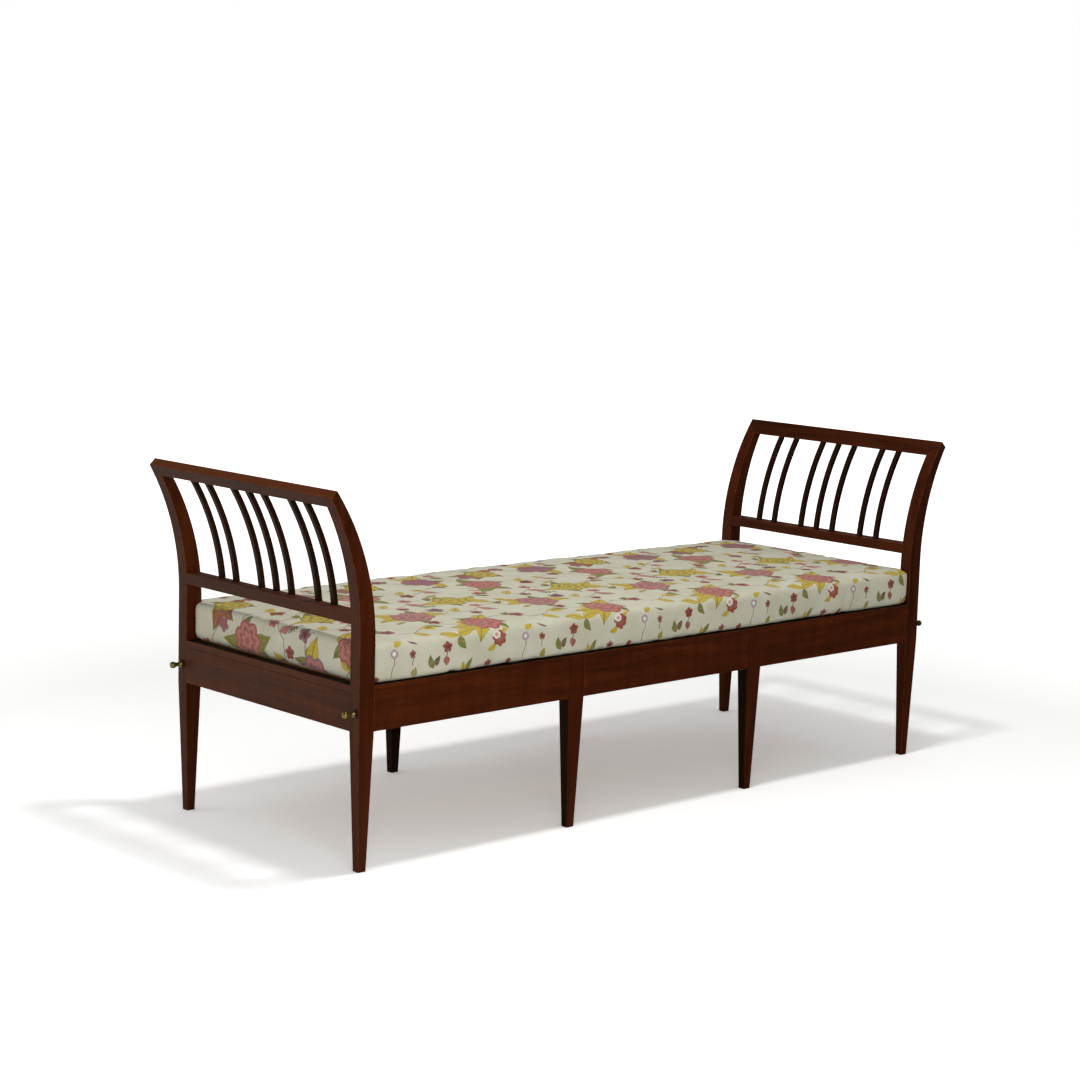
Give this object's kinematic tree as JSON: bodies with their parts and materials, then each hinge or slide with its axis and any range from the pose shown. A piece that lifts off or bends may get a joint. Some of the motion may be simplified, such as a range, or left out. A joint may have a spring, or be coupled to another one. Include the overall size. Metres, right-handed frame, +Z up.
{
  "type": "recamier",
  "caption": "Backless daybed bench with two outward-scrolling slatted ends, square tapered legs, bolted take-apart rails, a boarded seat and a loose printed mattress.",
  "frame": {"origin": "on the floor under the middle of the bench, the bottom centre of its box", "axes": "+X along the bench towards the right end as seen from the front, +Y from the front rail to the back rail, +Z up"},
  "size_m": [1.9578, 0.65, 0.8],
  "materials": {
    "mahogany": "french polished",
    "softwood": "planed, unfinished",
    "iron": "dark, oxidised",
    "brass": "dull, tarnished",
    "printed_linen": "printed linen with scattered flowers"
  },
  "bodies": {
    "frame": {"front_left_post": "mahogany", "back_left_post": "mahogany", "front_right_post": "mahogany", "back_right_post": "mahogany", "left_crest_rail": "mahogany", "right_crest_rail": "mahogany", "left_lower_rail": "mahogany", "right_lower_rail": "mahogany", "left_slat_1": "mahogany", "left_slat_2": "mahogany", "left_slat_3": "mahogany", "left_slat_4": "mahogany", "left_slat_5": "mahogany", "left_slat_6": "mahogany", "left_slat_7": "mahogany", "right_slat_1": "mahogany", "right_slat_2": "mahogany", "right_slat_3": "mahogany", "right_slat_4": "mahogany", "right_slat_5": "mahogany", "right_slat_6": "mahogany", "right_slat_7": "mahogany", "left_end_rail": "mahogany", "right_end_rail": "mahogany", "front_rail": "mahogany", "back_rail": "mahogany", "front_left_middle_leg": "mahogany", "back_left_middle_leg": "mahogany", "front_right_middle_leg": "mahogany", "back_right_middle_leg": "mahogany", "crest_dowels": "mahogany", "left_bearer": "softwood", "right_bearer": "softwood", "front_ledger": "softwood", "back_ledger": "softwood", "seat_board_1": "softwood", "seat_board_2": "softwood", "seat_board_3": "softwood", "seat_board_4": "softwood", "seat_board_5": "softwood", "seat_board_6": "softwood", "seat_board_7": "softwood", "seat_board_8": "softwood", "seat_board_9": "softwood", "seat_board_10": "softwood", "captive_nuts": "iron", "leg_screws": "iron", "ledger_screws": "iron"},
    "mattress": {"mattress": "printed_linen"},
    "front_left_washer": {"front_left_washer": "iron"},
    "front_left_bolt": {"front_left_bed_bolt": "brass"},
    "back_left_washer": {"back_left_washer": "iron"},
    "back_left_bolt": {"back_left_bed_bolt": "brass"},
    "front_right_washer": {"front_right_washer": "iron"},
    "front_right_bolt": {"front_right_bed_bolt": "brass"},
    "back_right_washer": {"back_right_washer": "iron"},
    "back_right_bolt": {"back_right_bed_bolt": "brass"}
  },
  "joints": [
    {"name": "mattress_lift", "type": "slide", "parent": "frame", "child": "mattress", "axis": [0, 0, 1], "range_m": [0, 0.45]},
    {"name": "front_left_bolt_travel", "type": "slide", "parent": "frame", "child": "front_left_washer", "axis": [-1, 0, 0], "range_m": [0, 0.014]},
    {"name": "front_left_bolt_turn", "type": "hinge", "parent": "front_left_washer", "child": "front_left_bolt", "pos_m": [-0.9, -0.311, 0.336], "axis": [-1, 0, 0], "range_deg": [0, 2520]},
    {"name": "back_left_bolt_travel", "type": "slide", "parent": "frame", "child": "back_left_washer", "axis": [-1, 0, 0], "range_m": [0, 0.014]},
    {"name": "back_left_bolt_turn", "type": "hinge", "parent": "back_left_washer", "child": "back_left_bolt", "pos_m": [-0.9, 0.311, 0.336], "axis": [-1, 0, 0], "range_deg": [0, 2520]},
    {"name": "front_right_bolt_travel", "type": "slide", "parent": "frame", "child": "front_right_washer", "axis": [1, 0, 0], "range_m": [0, 0.014]},
    {"name": "front_right_bolt_turn", "type": "hinge", "parent": "front_right_washer", "child": "front_right_bolt", "pos_m": [0.9, -0.311, 0.336], "axis": [1, 0, 0], "range_deg": [0, 2520]},
    {"name": "back_right_bolt_travel", "type": "slide", "parent": "frame", "child": "back_right_washer", "axis": [1, 0, 0], "range_m": [0, 0.014]},
    {"name": "back_right_bolt_turn", "type": "hinge", "parent": "back_right_washer", "child": "back_right_bolt", "pos_m": [0.9, 0.311, 0.336], "axis": [1, 0, 0], "range_deg": [0, 2520]}
  ],
  "couplings": [
    {"joint": "front_left_bolt_turn", "follows": "front_left_bolt_travel", "rad_per_m": 3141.6},
    {"joint": "back_left_bolt_turn", "follows": "back_left_bolt_travel", "rad_per_m": 3141.6},
    {"joint": "front_right_bolt_turn", "follows": "front_right_bolt_travel", "rad_per_m": 3141.6},
    {"joint": "back_right_bolt_turn", "follows": "back_right_bolt_travel", "rad_per_m": 3141.6}
  ]
}
